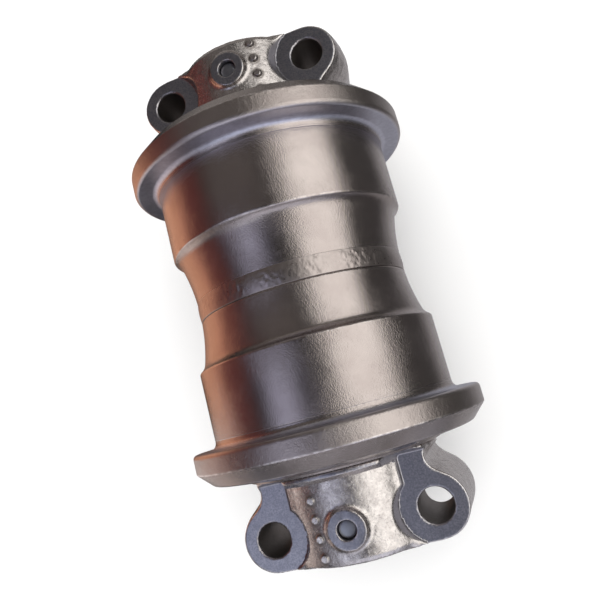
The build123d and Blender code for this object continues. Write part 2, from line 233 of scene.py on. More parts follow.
class Nodes:
    """Small helper that adds nodes to a material and links them."""

    def __init__(self, name):
        self.material = bpy.data.materials.new(name)
        self.material.use_nodes = True
        self.tree = self.material.node_tree
        self.shader = self.tree.nodes["Principled BSDF"]
        self.place = self.tree.nodes.new("ShaderNodeTexCoord").outputs["Object"]

    def add(self, kind, values=None, **settings):
        node = self.tree.nodes.new(kind)
        for key, value in settings.items():
            setattr(node, key, value)
        for key, value in (values or {}).items():
            self.fill(node.inputs[key], value)
        return node

    def fill(self, socket, value):
        if isinstance(value, bpy.types.NodeSocket):
            self.tree.links.new(value, socket)
        else:
            socket.default_value = value

    def noise(self, scale, detail=3.0, roughness=0.5, distortion=0.0):
        values = {"Vector": self.place, "Scale": scale, "Detail": detail}
        values.update({"Roughness": roughness, "Distortion": distortion})
        return self.add("ShaderNodeTexNoise", values).outputs["Fac"]

    def span(self, source, low, high, to_low=0.0, to_high=1.0):
        values = {"Value": source, "From Min": low, "From Max": high}
        values.update({"To Min": to_low, "To Max": to_high})
        return self.add("ShaderNodeMapRange", values).outputs["Result"]

    def math(self, operation, first, second):
        return self.add("ShaderNodeMath", {0: first, 1: second}, operation=operation).outputs[0]

    def mix(self, share, first, second):
        node = self.add("ShaderNodeMix", {0: share}, data_type="RGBA")
        sockets = {socket.identifier: socket for socket in node.inputs}
        self.fill(sockets["A_Color"], first)
        self.fill(sockets["B_Color"], second)
        return next(s for s in node.outputs if s.identifier == "Result_Color")

    def attribute(self, name):
        return self.add("ShaderNodeAttribute", attribute_name=name).outputs["Fac"]

    def bump(self, height, distance, normal=None):
        values = {"Height": height, "Strength": 1.0, "Distance": distance}
        if normal is not None:
            values["Normal"] = normal
        return self.add("ShaderNodeBump", values).outputs["Normal"]

    def drive(self, **sockets):
        for key, value in sockets.items():
            self.fill(self.shader.inputs[key.replace("_", " ")], value)


def satin_steel(name, roughness, peel):
    """Dark bronze-grey finish: orange peel, faint mottling, edges brightened partly by real wearing
    and partly as painted highlight, a duller wrinkled forged rim, and a duller inner flange face
    painted lilac as a reflection.
    """
    n = Nodes(name)
    forged = n.attribute("forged")
    matte = n.attribute("matte")
    mottling = n.span(n.noise(38, detail=4, roughness=0.55), 0.35, 0.68)
    colour = n.mix(mottling, STEEL_DARK, STEEL)
    blotches = n.span(n.noise(240, detail=5, roughness=0.65), 0.36, 0.64)
    # The inner flange face takes a lilac colour: a painted reflection of bluish light.
    colour = n.mix(matte, colour, n.mix(blotches, LILAC_REFLECTION_FACE_DARK, LILAC_REFLECTION_FACE))
    rubbed_and_highlit = n.span(n.noise(190), 0.36, 0.62)
    # Lighter edges: part real wearing, part painted highlight.
    colour = n.mix(n.math("MULTIPLY", n.attribute("wear"), rubbed_and_highlit), colour, STEEL_BRIGHT)
    dull = n.span(n.noise(420, roughness=0.6), 0.3, 0.7, roughness - 0.02, roughness + 0.03)
    dull = n.math("ADD", dull, n.math("MULTIPLY", forged, 0.07))
    dull = n.math("ADD", dull, n.math("MULTIPLY", matte, 0.15))
    patches = n.span(n.noise(22, roughness=0.6), 0.38, 0.66, 0.35, 1.0)
    skin = n.math("MULTIPLY", n.noise(980, detail=2, roughness=0.6), patches)
    normal = n.bump(skin, peel)
    normal = n.bump(n.noise(300, detail=2), peel * 0.2, normal)
    wrinkles = n.math("MULTIPLY", n.noise(330, detail=5, roughness=0.66, distortion=0.3), forged)
    normal = n.bump(wrinkles, FORGED_WRINKLES, normal)
    n.drive(Base_Color=colour, Metallic=1.0, Roughness=dull, Normal=normal)
    return n.material


def weld_finish(name):
    """The same coat over a hammered weld: rougher, with fine wrinkles."""
    n = Nodes(name)
    mottling = n.span(n.noise(60, detail=4, roughness=0.6), 0.35, 0.7)
    colour = n.mix(mottling, STEEL_DARK, STEEL)
    dull = n.span(n.noise(300, detail=4, roughness=0.6), 0.3, 0.7, 0.26, 0.36)
    normal = n.bump(n.noise(420, roughness=0.55), WELD_WRINKLES)
    n.drive(Base_Color=colour, Metallic=1.0, Roughness=dull, Normal=normal)
    return n.material


def cast_finish(name):
    """Coated casting: pitted skin, fine-grained milled flats, painted shade in the bolt holes and
    round the dots, and bright rims that are part real wearing and part painted highlight.
    """
    n = Nodes(name)
    flat = n.attribute("milled")
    bore = n.attribute("bore")
    cast = n.math("SUBTRACT", 1.0, flat)
    mottling = n.span(n.noise(160, detail=5, roughness=0.65), 0.36, 0.62)
    skin = n.mix(mottling, CAST_COAT_DARK, CAST_COAT)
    grain = n.span(n.noise(800, detail=4, roughness=0.7), 0.38, 0.62)
    face = n.mix(grain, FLAT_COAT_DARK, FLAT_COAT)
    stain = n.span(n.noise(55, detail=5, roughness=0.7, distortion=0.4), 0.42, 0.7)
    face = n.mix(n.math("MULTIPLY", stain, 0.6), face, FLAT_COAT_DARK)
    colour = n.mix(flat, skin, face)
    # Bright rims: part real wearing, part painted highlight.
    rubbed_and_highlit = n.span(n.noise(260), 0.3, 0.55)
    colour = n.mix(n.math("MULTIPLY", n.attribute("wear"), rubbed_and_highlit), colour, RIM_WEAR_AND_HIGHLIGHT)
    # Painted shade in the bolt holes and round the dots, which are also duller.
    colour = n.mix(bore, colour, HOLE_PAINTED_SHADE)
    dull = n.span(n.noise(300, detail=4, roughness=0.6), 0.3, 0.7, 0.22, 0.31)
    dull = n.math("ADD", dull, n.math("MULTIPLY", flat, 0.08))
    dull = n.math("ADD", dull, n.math("MULTIPLY", bore, 0.2))
    pits = n.math("MULTIPLY", n.span(n.noise(520, detail=4, roughness=0.6), 0.28, 0.5), cast)
    normal = n.bump(pits, CAST_PITS)
    fine = n.math("MULTIPLY", n.noise(1500, roughness=0.6), n.span(cast, 0.0, 1.0, 0.5, 1.0))
    normal = n.bump(fine, CAST_GRAIN, normal)
    n.drive(Base_Color=colour, Metallic=1.0, Roughness=dull, Normal=normal)
    return n.material


def plain_grain(name, base, dark, roughness, metallic, height):
    """Fine-grained finish for the small pieces."""
    n = Nodes(name)
    mottling = n.noise(GRAIN_SCALE / 5, detail=4, roughness=0.6)
    colour = n.mix(n.span(mottling, 0.3, 0.7), dark, base)
    grain = n.noise(GRAIN_SCALE, detail=4)
    dull = n.span(grain, 0.3, 0.7, roughness - 0.05, roughness + 0.07)
    normal = n.bump(n.noise(GRAIN_SCALE * 2), height)
    n.drive(Base_Color=colour, Metallic=metallic, Roughness=dull, Normal=normal)
    return n.material


# ---------------------------------------------------------------- roller shell

# The visual flange is a hair smaller than the CAD flange, and the shells end nearer the collars.
FLANGE_R = 119.98
TREAD_R = 100.1
WAIST_R = 88.9
WAIST_CURVE_R = 160.0
WAIST_START = 9.0
WAIST_END = 41.5
WAIST_POINTS = 20
WELD_HALF_W = 8.0
SHOULDER_HOLLOW_R = 11.0
SHOULDER_ANGLE = math.radians(52)
SHOULDER_EDGE_R = 2.8
TREAD_STATIONS = (60.0, 75.0, 90.0)
TOOL_MARK_START = 103.0
TOOL_MARK_AT = 103.6
TOOL_MARK_DEPTH = 0.12
FLANGE_IN = 110.1
FLANGE_ROOT_R = 6.0
FLANGE_ROOT_CENTRE_R = 106.1
FLANGE_ROOT_AT = 104.1
FLANGE_FACE_R = 112.0
FLANGE_EDGE_R = 4.0
FLANGE_MIDDLE = 117.0
FLANGE_OUT = 125.2
FLANGE_RIM_R = 1.8
CONE_END_R = 108.6
CONE_END = 136.6
CONE_END_ROUND = 4.5
FACE_MIDDLE_R = 95.0
FACE_MIDDLE = 138.8
FACE_END_R = 81.5
FACE_END = 140.8
FACE_END_ROUND = 1.0
MOUTH_R = 80.0
SHELL_END = 142.7
RECESS_R = 72.5
RECESS_IN = 131.0
SEAT_MOUTH_R = 67.6
SEAT_MOUTH = 127.0
SEAT_BACK_R = 65.4
SEAT_BACK = 116.4
BUSHING_FLANGE_R = 56.0
BUSHING_FLANGE_IN = 106.0
BUSHING_R = 46.0
BUSHING_IN = 34.0
CAVITY_R = 50.0
CAVITY_END = 30.0
WELD_ROOT_R = 81.0
EDGE_BREAK = 0.3
LIP_ROUND = 0.8

FORGED_FROM_R = 117.5
FORGED_UP_TO = 127.0
# Inner face of the flange: duller, and painted lilac as a reflection.
MATTE_PAINTED_LILAC_FROM_R = 100.6
MATTE_PAINTED_LILAC_UP_TO_R = 119.5
MATTE_PAINTED_LILAC_UP_TO = 118.0


def waist_r(along):
    """Radius of the waist at a distance from the middle."""
    return WAIST_R + WAIST_CURVE_R - math.sqrt(WAIST_CURVE_R**2 - along**2)


def waist_and_shoulder():
    """Corners from the weld up the hollow waist, and over the shoulder to the tread's edge."""
    corners = [(waist_r(WELD_HALF_W), WELD_HALF_W, 0, 0.3)]
    for along in np.linspace(WAIST_START, WAIST_END, WAIST_POINTS):
        corners.append((waist_r(along), along, 0, 0))
    low = math.asin(WAIST_END / WAIST_CURVE_R)
    for angle in np.linspace(low, SHOULDER_ANGLE, 9)[1:]:
        r = waist_r(WAIST_END) + SHOULDER_HOLLOW_R * (math.cos(low) - math.cos(angle))
        along = WAIST_END + SHOULDER_HOLLOW_R * (math.sin(angle) - math.sin(low))
        corners.append((r, along, 0, 0))
    tread_start = along + (TREAD_R - r) / math.tan(SHOULDER_ANGLE)
    corners.append((TREAD_R, tread_start, SHOULDER_EDGE_R, 0.35))
    return corners


def tread_and_flange():
    """Corners along the tread, up the flange's root and over its rim to the shell's end."""
    corners = [(TREAD_R, along, 0, 0) for along in TREAD_STATIONS]
    corners += [
        (TREAD_R, TOOL_MARK_START, EDGE_BREAK, 0),
        (TREAD_R - TOOL_MARK_DEPTH, TOOL_MARK_AT, EDGE_BREAK, 0.5),
        (TREAD_R, FLANGE_ROOT_AT, EDGE_BREAK, 0),
    ]
    for turn in np.radians(np.linspace(12, 84, 8)):
        r = FLANGE_ROOT_CENTRE_R - FLANGE_ROOT_R * math.cos(turn)
        corners.append((r, FLANGE_ROOT_AT + FLANGE_ROOT_R * math.sin(turn), 0, 0))
    # The last number brightens each rounded edge in the material, part real wearing and part painted
    # highlight, most on the rim and the lip.
    corners += [
        (FLANGE_ROOT_CENTRE_R, FLANGE_IN, 0, 0),
        (FLANGE_FACE_R, FLANGE_IN, 0, 0),
        (FLANGE_R, FLANGE_IN, FLANGE_EDGE_R, 0.12),
        (FLANGE_R, FLANGE_MIDDLE, 0, 0),
        (FLANGE_R, FLANGE_OUT, FLANGE_RIM_R, 0.8),
        (CONE_END_R, CONE_END, CONE_END_ROUND, 0.45),
        (FACE_MIDDLE_R, FACE_MIDDLE, 0, 0),
        (FACE_END_R, FACE_END, FACE_END_ROUND, 0.2),
        (MOUTH_R, SHELL_END, LIP_ROUND, 0.6),
        (RECESS_R, SHELL_END, LIP_ROUND, 0.2),
    ]
    return corners


def shell_bores():
    """Corners back through the recess, seal seat, bushing bore and oil cavity to the weld's root."""
    steps = (
        (RECESS_R, RECESS_IN),
        (SEAT_MOUTH_R, SEAT_MOUTH),
        (SEAT_BACK_R, SEAT_BACK),
        (BUSHING_FLANGE_R, SEAT_BACK),
        (BUSHING_FLANGE_R, BUSHING_FLANGE_IN),
        (BUSHING_R, BUSHING_FLANGE_IN),
        (BUSHING_R, BUSHING_IN),
    )
    corners = [(r, along, EDGE_BREAK, 0) for r, along in steps]
    corners += [(CAVITY_R, CAVITY_END, 0, 0), (CAVITY_R, 0.0, 0, 0), (WELD_ROOT_R, 0.0, 0, 0)]
    return corners


def make_shells(material):
    """Both shell halves, with the forged rim marked, and the dull inner face of the flange marked for
    its painted lilac reflection.
    """
    points, wear = soften(waist_and_shoulder() + tread_and_flange() + shell_bores())
    plain = lathe("shell_skin_plain_end", points, wear)
    x, along, z = positions(plain).T
    radius = np.hypot(x, z)
    mark(plain, "forged", fade_in(radius, FORGED_FROM_R, 2) * fade_out(along, FORGED_UP_TO, 2))
    # Inner face of the flange: matte, with a painted lilac reflection.
    inner_face = fade_in(radius, MATTE_PAINTED_LILAC_FROM_R, 1.5) * fade_out(radius, MATTE_PAINTED_LILAC_UP_TO_R, 3)
    mark(plain, "matte", inner_face * (along < MATTE_PAINTED_LILAC_UP_TO))
    plug = flipped_end(plain, "shell_skin_plug_end")
    for piece, node in ((plain, "shell_plain_end"), (plug, "shell_plug_end")):
        piece.data.materials.append(material)
        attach(piece, "roller")
        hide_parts(node)


# ---------------------------------------------------------------- weld bead

BEAD_CROWN = 0.75
BEAD_SINK = 0.05
BEAD_LOW = -7.1
BEAD_HIGH = 8.9
BEAD_POINTS = 29
BEAD_WALL_R = 87.0
BEAD_WALL_IN = 1.0
BEAD_ROOT_R = 81.5
BEAD_ROOT_HALF_W = 0.6
BEAD_SURFACE_R = 86.0


def bead_relief(points):
    """Hammer marks and wrinkles that come and go round the bead, in millimetres of radius."""
    middle = (BEAD_LOW + BEAD_HIGH) / 2
    across = np.clip(1 - np.abs(points[:, 1] - middle) / (BEAD_HIGH - middle), 0, 1)
    surface = np.hypot(points[:, 0], points[:, 2]) > BEAD_SURFACE_R
    patches = np.clip(lattice_noise(points, 17.0, 11) * 1.8 + 0.6, 0.15, 1)
    marks = 0.17 * lattice_noise(points, 3.6, 12) + 0.14 * lattice_noise(points, 2.0, 13)
    return surface * np.minimum(across * 4, 1) * patches * marks


def make_weld(material):
    """Slightly crowned, rough bead that fills the groove between the halves."""
    points = []
    for along in np.linspace(BEAD_LOW, BEAD_HIGH, BEAD_POINTS):
        share = (along - BEAD_LOW) / (BEAD_HIGH - BEAD_LOW)
        crown = BEAD_CROWN * (1 - abs(2 * share - 1) ** 2.0)
        points.append((waist_r(along) - BEAD_SINK + crown, along))
    points += [
        (BEAD_WALL_R, BEAD_HIGH - BEAD_WALL_IN),
        (BEAD_ROOT_R, BEAD_ROOT_HALF_W),
        (BEAD_ROOT_R, -BEAD_ROOT_HALF_W),
        (BEAD_WALL_R, BEAD_LOW + BEAD_WALL_IN),
    ]
    bead = lathe("weld_bead_skin", points, [0.0] * len(points), WELD_STEPS, bead_relief)
    bead.data.materials.append(material)
    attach(bead, "roller")
    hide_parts("weld_bead")


# ---------------------------------------------------------------- collars

# Fields are distances to a surface, negative inside it.
HOLE_X = 64.2
HOLE_Y = 188.2
HOLE_R = 13.3
HOLE_CHAMFER = 1.0
SEAT_PLANE = 35.4
SEAT_R = 27.3
SEAT_LEAN = 0.30
POCKET_X = 75.0
POCKET_Y = 171.6
POCKET_HALF_W = 30.0
POCKET_HALF_L = 25.0
POCKET_CORNER_R = 4.0
MATING_PLANE = -44.0
COLLAR_END = 213.0
LUG_END = 213.4
LUG_ROOT = 145.0
LUG_TOP = 37.5
LUG_EDGE_R = 1.5
BARREL_R = 57.5
BORE_R = 37.5
GROOVE_R = 40.9
GROOVE_Y = 160.0
GROOVE_HALF_W = 2.5
DISC_BACK = 143.0
DISC_FRONT = 150.0
PIN_Y = 187.2
PIN_R = 7.0
PIN_GAP = 0.15
PIN_BOSS_TOP = 60.6
PIN_BOSS_R = 14.6
PIN_BOSS_LEAN = 0.30
PIN_BOSS_FOOT = 50.0
DOT_COUNT = 4
DOT_X = 23.0
DOT_Y = 163.0
DOT_STEP = 14.0
DOT_R = 3.2
# Radius of the ring of painted shade round each dot.
DOT_SHADE_RING_R = 4.1
DOT_TOP = 54.9
DOT_FOOT = 45.0
CAST_ALLOWANCE = 0.12

# Roundings between the parts of a casting, and of its free and cut edges.
LUG_BLEND = 5.0
PIN_BOSS_BLEND = 3.0
PIN_BOSS_EDGE_R = 1.6
DOT_BLEND = 0.7
DOT_EDGE_R = 0.8
CUT_BLEND = 1.3

# A leaning wall is nearer than its level distance by these shares.
BOSS_SLANT = 0.96
CHAMFER_SLANT = 0.71

FLAT_UP = 0.9
# Shares of the bright rims, part real wearing and part painted highlight, at the pins, the disc and
# the holes.
PIN_RIM_WEAR_AND_HIGHLIGHT = 0.25
DISC_WEAR_AND_HIGHLIGHT = 0.1
HOLE_RIM_WEAR_AND_HIGHLIGHT = 0.6

# Half section of the collar without its lugs: bore edge, hub, seal seat, rim, disc, barrel and end.
CORE = (
    (BORE_R, 113.3),
    (38.5, 112.4),
    (50.0, 112.4),
    (50.0, 143.75),
    (65.4, 143.75),
    (67.6, 133.15),
    (70.1, 132.5),
    (71.0, 133.4),
    (71.0, 143.3),
    (74.5, 143.3),
    (75.4, 144.2),
    (75.4, 146.6),
    (70.5, DISC_FRONT),
    (BARREL_R, DISC_FRONT),
    (BARREL_R, 209.0),
    (56.3, 211.8),
    (53.5, COLLAR_END),
    (BORE_R, COLLAR_END),
)

# Radius of each lug's boss at a row of heights. The side wall of its neck is that radius plus the
# neck's value away from the middle of the collar.
LUG_HEIGHTS = (-44.0, -30.0, -15.0, 0.0, 15.0, 28.0, 37.0)
BULGED_RADII = (24.2, 25.6, 27.6, 29.3, 28.4, 26.3, 24.0)
TAPERED_RADII = (29.4, 28.5, 27.5, 26.5, 25.6, 24.8, 24.2)
BULGED_NECK = 42.1
TAPERED_NECK = 40.9
NECK_REACH = 20.0
NECK_BLEND = 13.0

GRID_LOW = (-97.0, 111.0, -77.5)
GRID_HIGH = (97.0, 215.0, 77.5)


def smooth_union(a, b, blend):
    """Field of both solids together, rounded where they meet."""
    share = np.clip(0.5 + 0.5 * (b - a) / blend, 0, 1)
    return b + (a - b) * share - blend * share * (1 - share)


def smooth_overlap(a, b, blend):
    """Field of what two solids share, with its edges rounded."""
    return -smooth_union(-a, -b, blend)


def box_distance(u, v, u_half, v_half, rounding=0.0):
    """Distance to a rectangle about the origin, with rounded corners."""
    du = np.abs(u) - u_half + rounding
    dv = np.abs(v) - v_half + rounding
    outside = np.hypot(np.maximum(du, 0), np.maximum(dv, 0))
    return outside + np.minimum(np.maximum(du, dv), 0) - rounding


def polygon_distance(u, v, corners):
    """Distance to a closed polygon."""
    best = np.full(u.shape, 1e9, u.dtype)
    inside = np.zeros(u.shape, bool)
    for index, (u1, v1) in enumerate(corners):
        u0, v0 = corners[index - 1]
        du = u1 - u0
        dv = v1 - v0
        share = np.clip(((u - u0) * du + (v - v0) * dv) / (du * du + dv * dv), 0, 1)
        best = np.minimum(best, (u - u0 - share * du) ** 2 + (v - v0 - share * dv) ** 2)
        if dv != 0:
            crosses = ((v0 <= v) & (v < v1)) | ((v1 <= v) & (v < v0))
            inside ^= crosses & (u < u0 + (v - v0) * du / dv)
    return np.where(inside, -1, 1) * np.sqrt(best)


def hole_distance(x, y):
    """Distance from the axis of the nearer bolt hole."""
    return np.hypot(np.abs(x) - HOLE_X, y - HOLE_Y)


def dot_distance(x, y, row):
    """Distance from the axis of one of the raised dots."""
    return np.hypot(x - DOT_X, y - DOT_Y - DOT_STEP * row)


def lug_field(x, y, z):
    """Both lugs with their necks; the wall leans in or out with height."""
    bulged = x > 0
    bulged_r = np.interp(z, LUG_HEIGHTS, BULGED_RADII)
    tapered_r = np.interp(z, LUG_HEIGHTS, TAPERED_RADII)
    boss_r = np.where(bulged, bulged_r, tapered_r)
    neck_half = boss_r + np.where(bulged, BULGED_NECK, TAPERED_NECK)
    side = np.abs(x)
    along = y - LUG_ROOT
    boss = hole_distance(x, y) - boss_r
    neck = box_distance(side, along, neck_half, NECK_REACH)
    bridge = box_distance(side, along, HOLE_X, HOLE_Y - LUG_ROOT)
    plan = np.minimum(smooth_union(boss, neck, NECK_BLEND), bridge)
    plan = np.minimum(plan, box_distance(side, along, HOLE_X, COLLAR_END - LUG_ROOT))
    slab = np.abs(z - (MATING_PLANE + LUG_TOP) / 2) - (LUG_TOP - MATING_PLANE) / 2
    field = smooth_overlap(plan, slab, LUG_EDGE_R)
    return np.maximum(np.maximum(field, y - LUG_END), LUG_ROOT - y)


def pin_boss_field(x, y, z):
    """Raised boss round the lock pin, wider towards its foot."""
    wall = np.hypot(x, y - PIN_Y) - PIN_BOSS_R - (PIN_BOSS_TOP - z) * PIN_BOSS_LEAN
    boss = smooth_overlap(wall * BOSS_SLANT, z - PIN_BOSS_TOP, PIN_BOSS_EDGE_R)
    return np.maximum(boss, PIN_BOSS_FOOT - z)


def dot_field(x, y, z, row):
    """One plain raised dot of the row on the barrel."""
    wall = dot_distance(x, y, row) - DOT_R
    return np.maximum(smooth_overlap(wall, z - DOT_TOP, DOT_EDGE_R), DOT_FOOT - z)


def cast_field(points):
    """Rough casting before any machining."""
    x, y, z = points.T
    solid = polygon_distance(np.hypot(x, z), y, CORE)
    solid = smooth_union(solid, lug_field(x, y, z), LUG_BLEND)
    solid = smooth_union(solid, pin_boss_field(x, y, z), PIN_BOSS_BLEND)
    for row in range(DOT_COUNT):
        solid = smooth_union(solid, dot_field(x, y, z, row), DOT_BLEND)
    rough = 0.12 * lattice_noise(points, 5.5, 3) + 0.05 * lattice_noise(points, 2.4, 4)
    return solid + CAST_ALLOWANCE + rough * fade_in(y, DISC_BACK, 2)


def cut_field(points):
    """Everything machined away: seats, bores, mating face."""
    x, y, z = points.T
    from_hole = hole_distance(x, y)
    across = np.abs(x) - POCKET_X
    pocket = box_distance(across, y - POCKET_Y, POCKET_HALF_W, POCKET_HALF_L, POCKET_CORNER_R)
    seat = np.minimum(from_hole - SEAT_R, pocket)
    seat = np.maximum(seat - (z - SEAT_PLANE) * SEAT_LEAN, SEAT_PLANE - z)
    chamfer = (from_hole - HOLE_R - HOLE_CHAMFER + SEAT_PLANE - z) * CHAMFER_SLANT
    bolt = np.minimum(from_hole - HOLE_R, chamfer)
    radius = np.hypot(x, z)
    bore = radius - BORE_R
    groove = np.maximum(radius - GROOVE_R, np.abs(y - GROOVE_Y) - GROOVE_HALF_W)
    pin = np.maximum(np.hypot(x, y - PIN_Y) - PIN_R - PIN_GAP, -z)
    under = np.maximum(DISC_FRONT - y, z - MATING_PLANE)
    cut = np.minimum(np.minimum(seat, bolt), np.minimum(bore, groove))
    return np.minimum(np.minimum(cut, pin), under)


def collar_field(points):
    """Casting with everything machined away, and softened edges."""
    return smooth_overlap(cast_field(points), -cut_field(points), CUT_BLEND)


AXIS_STEPS = np.eye(3, dtype=int)
CELL_CORNERS = [(i, j, k) for i in (0, 1) for j in (0, 1) for k in (0, 1)]


def grid_values(field, low, counts, cell):
    """The field at every point of a regular grid."""
    axes = [a + cell * np.arange(n) for a, n in zip(low, counts)]
    values = np.empty(counts, np.float32)
    y, z = np.meshgrid(axes[1], axes[2], indexing="ij")
    for slab in range(counts[0]):
        x = np.full(y.shape, axes[0][slab])
        values[slab] = field(np.stack([x, y, z], -1).reshape(-1, 3)).reshape(y.shape)
    return values


def cell_points(values, cells):
    """Sum of the places where the surface crosses each cell's edges, in cells, and their number."""
    place = np.zeros((len(cells), 3))
    hits = np.zeros(len(cells))
    for axis, step in enumerate(AXIS_STEPS):
        for corner in CELL_CORNERS:
            if corner[axis]:
                continue
            start = cells + corner
            v0 = values[tuple(start.T)]
            v1 = values[tuple((start + step).T)]
            crossed = (v0 < 0) != (v1 < 0)
            share = np.where(crossed, v0 / np.where(crossed, v0 - v1, 1), 0)
            place += crossed[:, None] * (start + share[:, None] * step)
            hits += crossed
    return place, hits


def net_quads(inside, index, axis):
    """Quads round every grid edge along one axis that the surface crosses."""
    second = (axis + 1) % 3
    third = (axis + 2) % 3
    edges = np.argwhere(inside != np.roll(inside, -1, axis))
    keep = edges[:, axis] < inside.shape[axis] - 1
    for other in (second, third):
        keep &= (edges[:, other] > 0) & (edges[:, other] < inside.shape[other] - 1)
    edges = edges[keep]
    back_2 = AXIS_STEPS[second]
    back_3 = AXIS_STEPS[third]
    around = [edges - back_2 - back_3, edges - back_3, edges, edges - back_2]
    quad = np.stack([index[tuple(c.T)] for c in around], 1)
    outward = inside[tuple(edges.T)]
    return np.where(outward[:, None], quad, quad[:, ::-1])


def surface_net(field, low, high, cell):
    """Points and quads of a field's zero surface, one point in every grid cell it passes through."""
    counts = [int(math.ceil((b - a) / cell)) + 1 for a, b in zip(low, high)]
    values = grid_values(field, low, counts, cell)
    inside = values < 0
    rows, columns, layers = [n - 1 for n in counts]
    total = 0
    for i, j, k in CELL_CORNERS:
        total = total + inside[i:rows + i, j:columns + j, k:layers + k].astype(int)
    cells = np.argwhere((total > 0) & (total < len(CELL_CORNERS)))
    index = np.full((rows, columns, layers), -1)
    index[tuple(cells.T)] = np.arange(len(cells))
    place, hits = cell_points(values, cells)
    place = np.array(low) + cell * place / hits[:, None]
    return place, np.concatenate([net_quads(inside, index, axis) for axis in range(3)])


def slope(field, points, reach):
    """Direction in which a field grows."""
    grown = np.empty(points.shape)
    for axis in range(3):
        step = np.zeros(3)
        step[axis] = reach
        grown[:, axis] = (field(points + step) - field(points - step)) / (2 * reach)
    return grown


def collar_net():
    """Points and quads of a collar, with the points pulled onto the true surface."""
    place, quads = surface_net(collar_field, GRID_LOW, GRID_HIGH, CASTING_CELL)
    furthest = 0.4 * CASTING_CELL
    for _ in range(2):
        grown = slope(collar_field, place, 0.2)
        size = np.maximum((grown**2).sum(1), 0.05)
        move = -grown * (collar_field(place) / size)[:, None]
        place += np.clip(move, -furthest, furthest)
    place[:, 1] = np.minimum(place[:, 1], LUG_END)
    return place, quads


def collar_normals(place):
    """Surface directions at a collar's points, taken over a wider reach on the disc's thin rim."""
    grown = slope(collar_field, place, 0.25)
    on_disc = (place[:, 1] < DISC_FRONT - 0.5) & (place[:, 1] > DISC_BACK)
    grown[on_disc] = slope(collar_field, place[on_disc], 1.0)
    return grown


def mark_milled(piece, place, up, cast, cut):
    """1 on the milled seats and the boss top, up to a half on other cut faces."""
    z = place[:, 2]
    flat = up > FLAT_UP
    on_seat = flat & (np.abs(z - SEAT_PLANE) < 0.6)
    on_seat |= flat & (z > PIN_BOSS_TOP - 0.9)
    mark(piece, "milled", np.where(on_seat, 1.0, np.clip((cast - cut) * 0.5, 0, 0.5)))


def mark_wear_and_highlight(piece, place, cast, cut):
    """Bright rims, part real wearing and part painted highlight, where cut faces meet the casting,
    fainter at the pins, the disc and the holes.
    """
    x = place[:, 0]
    y = place[:, 1]
    by_pin = np.hypot(x, y - PIN_Y) < PIN_R + 1.5
    by_hole = hole_distance(x, y) < HOLE_R + 1.7
    rim_brightening = np.where(by_pin, PIN_RIM_WEAR_AND_HIGHLIGHT, 1.0) * np.where(y < DISC_FRONT - 1, DISC_WEAR_AND_HIGHLIGHT, 1.0)
    rim_brightening *= np.where(by_hole, HOLE_RIM_WEAR_AND_HIGHLIGHT, 1.0)
    mark(piece, "wear", rim_brightening * np.clip(1.25 - np.maximum(cast, cut) / 0.8, 0, 1))


def mark_painted_shade(piece, place):
    """Painted shade inside the bolt holes and in a thin ring round each dot."""
    x, y, z = place.T
    bore = (hole_distance(x, y) < HOLE_R + 0.5) * fade_out(z, SEAT_PLANE - 1.2, 2)
    # A thin ring of painted shade round each dot.
    for row in range(DOT_COUNT):
        from_ring = np.abs(dot_distance(x, y, row) - DOT_SHADE_RING_R)
        bore = np.maximum(bore, np.clip(1.3 - from_ring, 0, 0.8) * (z > DOT_FOOT))
    mark(piece, "bore", bore)


def make_collars(material):
    """Both collar castings with their lugs, bosses and machined seats."""
    place, quads = collar_net()
    grown = collar_normals(place)
    length = np.linalg.norm(grown, axis=1)
    plain = new_object("collar_casting_plain_end", (place * MM).tolist(), quads.tolist())
    cast = np.abs(cast_field(place))
    cut = np.abs(cut_field(place))
    mark_milled(plain, place, grown[:, 2] / length, cast, cut)
    mark_wear_and_highlight(plain, place, cast, cut)
    mark_painted_shade(plain, place)
    normals = grown / length[:, None]
    plain.data.normals_split_custom_set_from_vertices(normals.tolist())
    plug = flipped_end(plain, "collar_casting_plug_end")
    turned = normals * (-1, -1, 1)
    plug.data.normals_split_custom_set_from_vertices(turned.tolist())
    for piece, node in ((plain, "collar_plain_end"), (plug, "collar_plug_end")):
        piece.data.materials.append(material)
        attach(piece, "axle")
        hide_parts(node)


# ---------------------------------------------------------------- lock pins

# Radius and height of the pin's outline, from the middle of its domed head down to its tail.
PIN_SIDE_R = 6.98
PIN_TAIL = 17.0
PIN_OUTLINE = (
    (0.0, 56.8),
    (3.0, 56.75),
    (4.9, 56.6),
    (6.1, 56.3),
    (6.7, 55.8),
    (6.9, 55.3),
    (PIN_SIDE_R, 54.6),
    (PIN_SIDE_R, 40.0),
    (PIN_SIDE_R, 18.0),
    (6.0, PIN_TAIL),
    (0.0, PIN_TAIL),
)
PIN_STEPS = 72


def make_pins(material):
    """Lock pins with a domed, turned head."""
    side = PIN_OUTLINE[1:-1]
    verts = []
    for turn in range(PIN_STEPS):
        angle = 2 * math.pi * turn / PIN_STEPS
        for r, height in side:
            x = r * math.cos(angle) * MM
            y = PIN_Y * MM + r * math.sin(angle) * MM
            verts.append((x, y, height * MM))
    rows = len(side)
    head = len(verts)
    tail = head + 1
    for end in (0, -1):
        verts.append((0, PIN_Y * MM, PIN_OUTLINE[end][1] * MM))
    walls = []
    caps = []
    for turn in range(PIN_STEPS):
        here = turn * rows
        after = (turn + 1) % PIN_STEPS * rows
        for row in range(rows - 1):
            walls.append((here + row, here + row + 1, after + row + 1, after + row))
        caps.append((head, here, after))
        caps.append((tail, after + rows - 1, here + rows - 1))
    plain = new_object("pin_head_plain_end", verts, walls + caps)
    plug = flipped_end(plain, "pin_head_plug_end")
    for piece, node in ((plain, "lock_pin_plain_end"), (plug, "lock_pin_plug_end")):
        piece.data.materials.append(material)
        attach(piece, "axle")
        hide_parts(node)


# ---------------------------------------------------------------- studio

